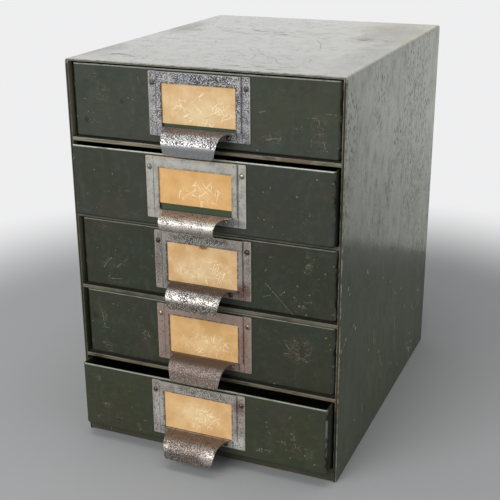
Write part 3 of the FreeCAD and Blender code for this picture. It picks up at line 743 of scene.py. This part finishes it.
def pull_steel(n):
    """Bare steel of a card holder and its tongue: clouded, pitted, browned by fingers."""
    frame_colour, cloud, pit, root, curl, tip_tint_and_shade, frame_pits, curl_pits, tip_pits = PULLS[n]
    finish = Finish(
        f"pull_{n}_steel", shade(frame_colour), rough=0.5, metal=0.7, origin=drawer_foot(n)
    )
    up = finish.facing[2]
    tongue = finish.y.fade(-3.2, -4.6)  # what stands out further than the bezel
    holder = 1 - tongue
    flat, low = tongue * up.fade(0.8, 0.97), tongue * up.fade(0.4, 0.1)
    clouds = finish.noise(9, detail=4, rough=0.6, seed=n + 80)
    finish.lay(clouds.fade(0.42, 0.65), shade(cloud), rough=0.55)
    ragged = finish.shaken(5, 3.5, n)
    for x, height, wide, tall, colour, strength in TINTS[n]:
        tinted = finish.patch((x, height), (wide, tall), ragged, soft=0.7)
        finish.lay(tinted * holder * strength, shade(colour))
    rough, metal = CURLS[n]
    finish.lay(tongue, shade(curl), rough=rough, metal=metal)
    # the tongue's down-facing lower part takes the tip colour: its own tint, darkened as painted
    # shade
    finish.lay(low, shade(tip_tint_and_shade), rough=0.5)
    finish.lay(flat * 0.9, shade(root), rough=0.6, metal=0.5)
    for x, height, wide, tall, rubbed in STREAKS.get(n, ()):
        bright = finish.patch((x, height), (wide, tall), ragged, soft=0.8) * tongue * (1 - flat)
        bright = bright * clouds.fade(0.3, 0.5)
        finish.lay(bright * 0.8, shade(rubbed), rough=0.42, metal=0.85)
    # pits, crowded in places, and the glints between them
    fine = finish.noise(1.0, detail=1.5, rough=0.7, seed=n + 90)
    crowd = finish.noise(7, detail=2, seed=n + 87) - 0.5
    cover = finish.between(tongue, frame_pits, finish.between(low, curl_pits, tip_pits))
    if n in BANDS:
        x, height, wide, tall, more = BANDS[n]
        cover = cover + finish.patch((x, height), (wide, tall), ragged) * holder * more
    depth = fine + crowd * 0.3 + cover * 0.22
    finish.lay(depth.fade(0.66, 0.72) * 0.85, shade(pit), rough=0.85, metal=0.1, height=-0.03)
    glint = fine.fade(0.44, 0.36) * cover * (1 - flat)
    finish.lay(glint * 0.6, shade("#DEDEDC"), rough=0.38, metal=0.85)
    # dirt round the rivets, dirt and painted shade along the bezel's foot, and dirt on the window's
    # edges
    rivet_dirt, window_dirt = DIRT[n]
    middle = holder_middle(n)
    beside = abs(finish.x - middle)
    rings = finish.any_of(
        [finish.patch((middle + x, height), (3.5, 3.5), soft=0.35) for x, height in RIVETS]
    )
    finish.lay(rings * holder * rivet_dirt, shade("#35261F"), rough=0.8, metal=0.2)
    # dirt and painted shade in the corner at the bezel's foot
    foot = beside.fade(BEZEL - 0.3, BEZEL + 0.2) * beside.fade(BEZEL + 1.5, BEZEL + 0.4)
    dirt_and_shade = finish.noise(6, (1, 1, 2), detail=2, seed=n + 97).fade(0.35, 0.65) * 0.5 + 0.25
    finish.lay(foot * holder * dirt_and_shade, shade("#2A211C"), rough=0.8, metal=0.2)
    within = beside.fade(WINDOW + 1.4, WINDOW + 0.6)
    sides = beside.fade(WINDOW - 0.5, WINDOW) * within
    sides = sides * finish.z.fade(WINDOW_TOP + 1.4, WINDOW_TOP + 0.4)
    head = finish.z.fade(WINDOW_TOP - 0.6, WINDOW_TOP)
    head = head * finish.z.fade(WINDOW_TOP + 1.6, WINDOW_TOP + 0.6) * within
    brown = finish.noise(3, detail=3, rough=0.6, seed=n + 98).fade(0.38, 0.56) * window_dirt
    finish.lay(sides.most(head) * holder * brown, shade("#3E2A20"), rough=0.8, metal=0.2)
    rim = beside.fade(PLATE - 1.0, PLATE - 0.1)
    rim = rim.most(finish.z.fade(PLATE_TOP - 0.8, PLATE_TOP - 0.1))
    finish.lay(rim * holder * fine.fade(0.35, 0.55) * 0.7, shade("#B4AE9C"), rough=0.5)
    finish.lay(finish.noise(2.4, detail=2, seed=n + 95), height=0.03)
    return finish.done()


def rivet_steel(n, ground):
    finish = Finish(f"rivets_{n}_steel", shade(ground), rough=0.35, metal=0.9)
    stains = finish.noise(2.5, detail=3, seed=n + 100)
    finish.lay(stains.fade(0.5, 0.65), BROWN, rough=0.65, metal=0.4)
    return finish.done()


for n, ground in zip(DRAWERS, ("#5E5C5C", "#8A8884", "#4A3A32", "#9A8A80", "#54443A")):
    coat(f"drawer_{n}_pull", pull_steel(n))
    coat(f"drawer_{n}_rivets", rivet_steel(n, ground))

# Cards

PALE_PAPER = shade("#F6E6C0")
CARDS = {  # ground, rubbed middle, brown corners, and the middle and half size of the rubbed part
    1: ("#DABC90", "#E4CDA4", "#CBA572", (4, 34), (44, 22)),
    2: ("#DDB178", "#E6C08A", "#CFA064", (2, 36), (32, 18)),
    3: ("#DCBB8E", "#EBD5AC", "#CBA06C", (0, 32), (38, 18)),
    4: ("#DBB47E", "#E9CA98", "#CA9F66", (0, 31), (38, 17)),
    5: ("#E0BB86", "#EDD4A6", "#CFA470", (0, 36), (32, 18)),
}


def card_paper(n):
    """A manila card: clouded, darker in its corners, scuffed pale in fine crossing strokes."""
    ground, rubbed, corner, middle, reach = CARDS[n]
    finish = Finish(
        f"card_{n}_paper",
        shade(ground),
        rough=0.85,
        origin=drawer_foot(n),
        Specular_IOR_Level=0.25,
    )
    clouds = finish.noise(16, detail=4, rough=0.6, seed=n + 110)
    centre = finish.patch(middle, reach, soft=0.8)
    finish.lay((1 - centre) * clouds.fade(0.3, 0.65) * 0.9, shade(corner))
    finish.lay(centre * clouds.fade(0.62, 0.4) * 0.6, shade(rubbed))
    bent = finish.shaken(9, 2.5, n)
    turns = (35, 75, 130, -10, 100, 55)
    pale = finish.any_of(
        [
            finish.scores(8 - 0.8 * i, 0.36, 3.2, turn, n + 3.1 * i, FRONT, bent)
            for i, turn in enumerate(turns)
        ]
    )
    crowd = finish.noise(14, detail=2, seed=n + 112).fade(0.4, 0.52)
    finish.lay(pale * crowd * centre.fade(0, 0.5), PALE_PAPER, rough=0.95)
    dark = finish.any_of(
        [finish.scores(4, 0.4, 3.4, turn, n + 4.3 + turn, FRONT, bent) for turn in (20, 120)]
    )
    finish.lay(dark * crowd * centre.fade(0, 0.5) * 0.45, shade("#B0854E"), rough=0.95)
    if n == 3:  # a brown spot at its upper edge
        spot = finish.patch((0, 57), (6, 2.6), finish.shaken(1.5, 1.0, 3))
        finish.lay(spot * 0.9, shade("#7E5436"))
    # a brown stain and the painted shadow of the bezel, just inside the window's edges
    framed_stain_and_shadow = abs(finish.x - holder_middle(n)).fade(WINDOW - 1.3, WINDOW + 0.1)
    framed_stain_and_shadow = framed_stain_and_shadow.most(finish.z.fade(WINDOW_TOP - 1.4, WINDOW_TOP + 0.2))
    finish.lay(framed_stain_and_shadow * clouds.fade(0.35, 0.6) * 0.6, shade("#8A6438"))
    fibres = finish.noise(1.2, (2, 1, 0.8), detail=3, rough=0.7, seed=n + 115)
    finish.lay(fibres.fade(0.6, 0.72) * 0.3, shade(corner))
    finish.lay(fibres, height=0.02)
    return finish.done()


for n in DRAWERS:
    coat(f"drawer_{n}_card", card_paper(n))

# Floor, light and camera

FLOOR_GREY, DISTANCE = (0.36, 0.365, 0.37, 1), (0.86, 0.86, 0.87, 1)
# how brightly the floor glows as a painted reflection in the enamel: before the object, close
# behind it, and far behind it
MIRRORED_BEFORE, MIRRORED_CLOSE = (0.84, 0.85, 0.79, 1), (0.515, 0.52, 0.49, 1)
MIRRORED_FAR = (0.93, 0.94, 0.895, 1)


def floor(size=12.0):
    """A pale floor that runs into a pale distance, which the enamel mirrors as well: for mirrored
    rays it glows, dimmer close behind, as a painted reflection.
    """
    corners = [(-size, -size, 0), (size, -size, 0), (size, size, 0), (-size, size, 0)]
    mesh = bpy.data.meshes.new("floor")
    mesh.from_pydata(corners, [], [(0, 1, 2, 3)])
    piece = bpy.data.objects.new("floor", mesh)
    bpy.context.scene.collection.objects.link(piece)
    finish = Finish("floor", FLOOR_GREY, rough=0.7, Specular_IOR_Level=0.2)
    away = finish.vector("LENGTH", finish.vector("MULTIPLY", finish.place, (1, 1, 0)), output=1)
    # painted reflection: past these lines the floor glows for mirrored rays, setting the light and
    # dark bands seen in the enamel
    mirrored = finish.y.fade(487, 517).most(away.fade(520, 850) * finish.y.fade(0, -200))
    rays = finish.node("LightPath").socket.node.outputs
    seen = away.fade(420, 780) * Wire(finish, rays["Is Camera Ray"])
    for kind in ("Is Glossy Ray", "Is Transmission Ray"):
        seen = seen.most(mirrored * Wire(finish, rays[kind]))
    behind = finish.tint(finish.y.fade(200, 1600), MIRRORED_CLOSE, MIRRORED_FAR)
    glowing = finish.tint(finish.y.fade(0, 100), MIRRORED_BEFORE, behind)
    pale = finish.tint(Wire(finish, rays["Is Camera Ray"]), glowing, DISTANCE)
    glow = finish.node("Emission", {}, {"Color": pale})
    plain = Wire(finish, finish.shader.outputs[0])
    shown = finish.node("MixShader", {}, {0: seen, 1: plain, 2: glow})
    output = finish.tree.nodes["Material Output"]
    finish.tree.links.new(shown.socket, output.inputs["Surface"])
    mesh.materials.append(finish.done())


def sky(light=0.3, behind=0.86, mirrored=1.0):
    """Even light from all round: so bright as a light, behind the object, and mirrored in it."""
    world = bpy.data.worlds.new("studio")
    world.use_nodes = True
    bpy.context.scene.world = world
    tree = world.node_tree
    backdrop = tree.nodes["Background"]
    backdrop.inputs["Color"].default_value = (1, 1, 1, 1)
    path = tree.nodes.new("ShaderNodeLightPath")
    strength = light
    for kind, seen in (("Is Camera Ray", behind), ("Is Glossy Ray", mirrored)):
        more = tree.nodes.new("ShaderNodeMath")
        more.operation = "MULTIPLY_ADD"
        tree.links.new(path.outputs[kind], more.inputs[0])
        more.inputs[1].default_value = seen - light
        if strength is light:
            more.inputs[2].default_value = light
        else:
            tree.links.new(strength, more.inputs[2])
        strength = more.outputs[0]
    tree.links.new(strength, backdrop.inputs["Strength"])


def soft_light(name, place, target, size, radiance):
    """A soft box that the camera doesn't see."""
    data = bpy.data.lights.new(name, "AREA")
    data.shape = "RECTANGLE"
    data.size, data.size_y = size
    data.energy = radiance * 4 * size[0] * size[1]
    lamp = bpy.data.objects.new(name, data)
    bpy.context.scene.collection.objects.link(lamp)
    lamp.location = place
    lamp.rotation_mode = "QUATERNION"
    lamp.rotation_quaternion = (Vector(target) - Vector(place)).to_track_quat("-Z", "Y")
    lamp.visible_camera = False


def camera():
    """Stands where the casing's edges in the photograph say it stood."""
    turn, rise, roll = 0.399060214, 0.354938475, -0.00571617728  # radians
    focal_length, picture_width, sensor_width = 983.067, 500, 36  # pixels, pixels, mm
    level = Vector((math.cos(turn), math.sin(turn), 0))
    back = Vector(
        (math.sin(turn) * math.cos(rise), -math.cos(turn) * math.cos(rise), math.sin(rise))
    )
    upright = back.cross(level)
    right = math.cos(roll) * level + math.sin(roll) * upright
    up = math.cos(roll) * upright - math.sin(roll) * level
    data = bpy.data.cameras.new("camera")
    data.sensor_width = sensor_width
    data.lens = sensor_width * focal_length / picture_width
    seat = bpy.data.objects.new("camera", data)
    bpy.context.scene.collection.objects.link(seat)
    pose = Matrix((right, up, back)).transposed().to_4x4()
    pose.translation = Vector((0.384719, -0.971092, 0.551505))
    seat.matrix_world = pose
    bpy.context.scene.camera = seat


floor()
sky()
soft_light("key", place=(-0.75, -2.3, 1.3), target=(0, 0, 0.2), size=(2.2, 1.6), radiance=4.0)
soft_light("overhead", place=(0.1, -0.2, 2.0), target=(0, 0, 0.2), size=(1.4, 1.0), radiance=2.5)
camera()
bpy.context.scene.view_settings.view_transform = "Standard"
